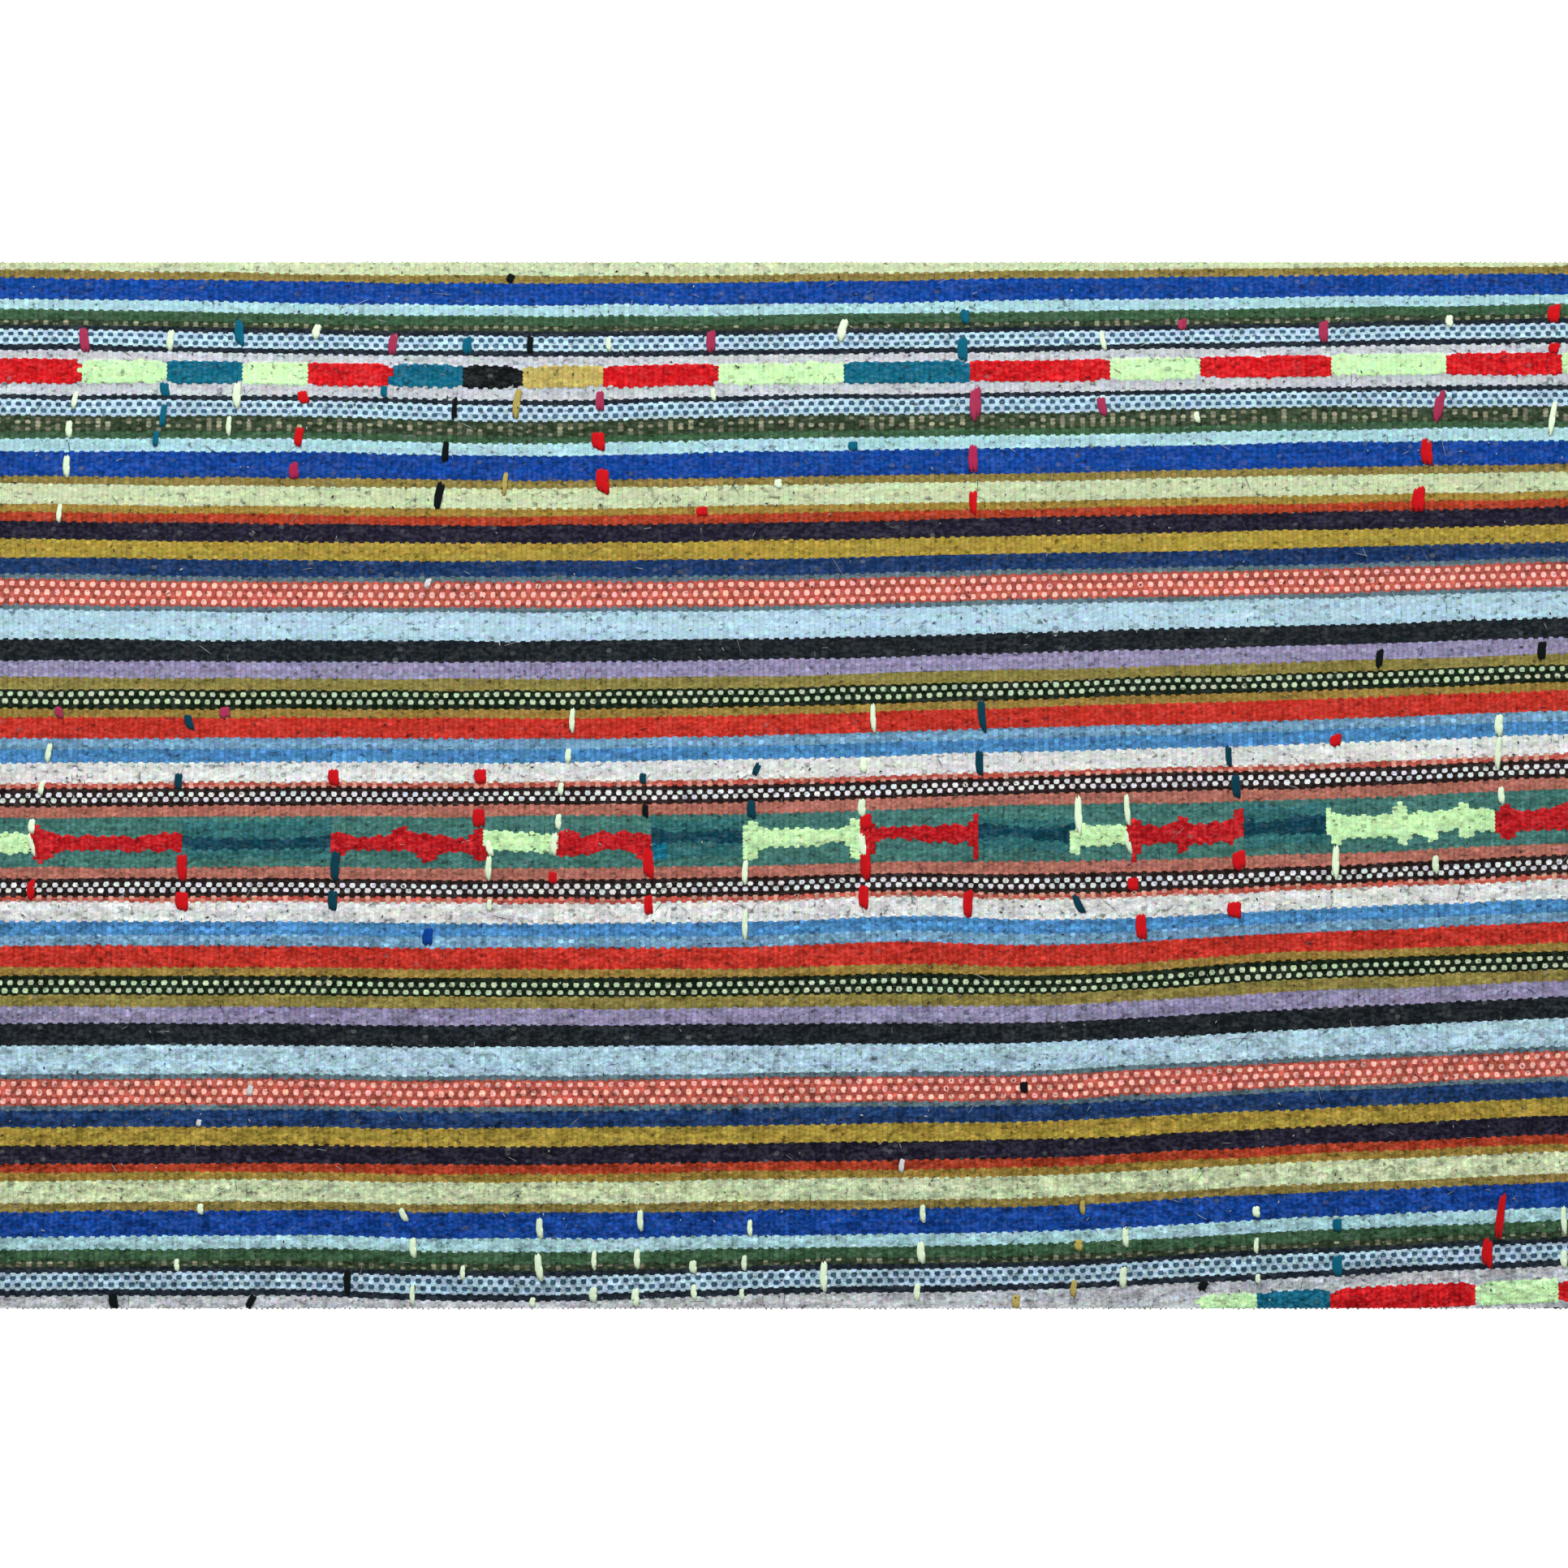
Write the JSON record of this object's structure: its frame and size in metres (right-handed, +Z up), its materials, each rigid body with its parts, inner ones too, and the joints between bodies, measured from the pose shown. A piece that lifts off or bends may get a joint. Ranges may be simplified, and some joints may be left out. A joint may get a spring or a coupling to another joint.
{
  "type": "striped flat-woven runner rug",
  "caption": "Cut length of a striped, weft-faced flat-woven runner rug with dotted, checked, zigzag and block bands, lying flat.",
  "frame": {"origin": "middle of the flat underside, on the surface that the rug lies on", "axes": "+X across the rug, along its wefts and stripes; +Y along its warps, towards the picture's top; +Z up out of its face"},
  "size_m": [0.766, 0.467, 0.004],
  "materials": {
    "striped_wool": "matt hand-spun wool weft, ribbed, in many cross stripes"
  },
  "bodies": {
    "root": {"flatweave": "striped_wool"}
  },
  "joints": []
}
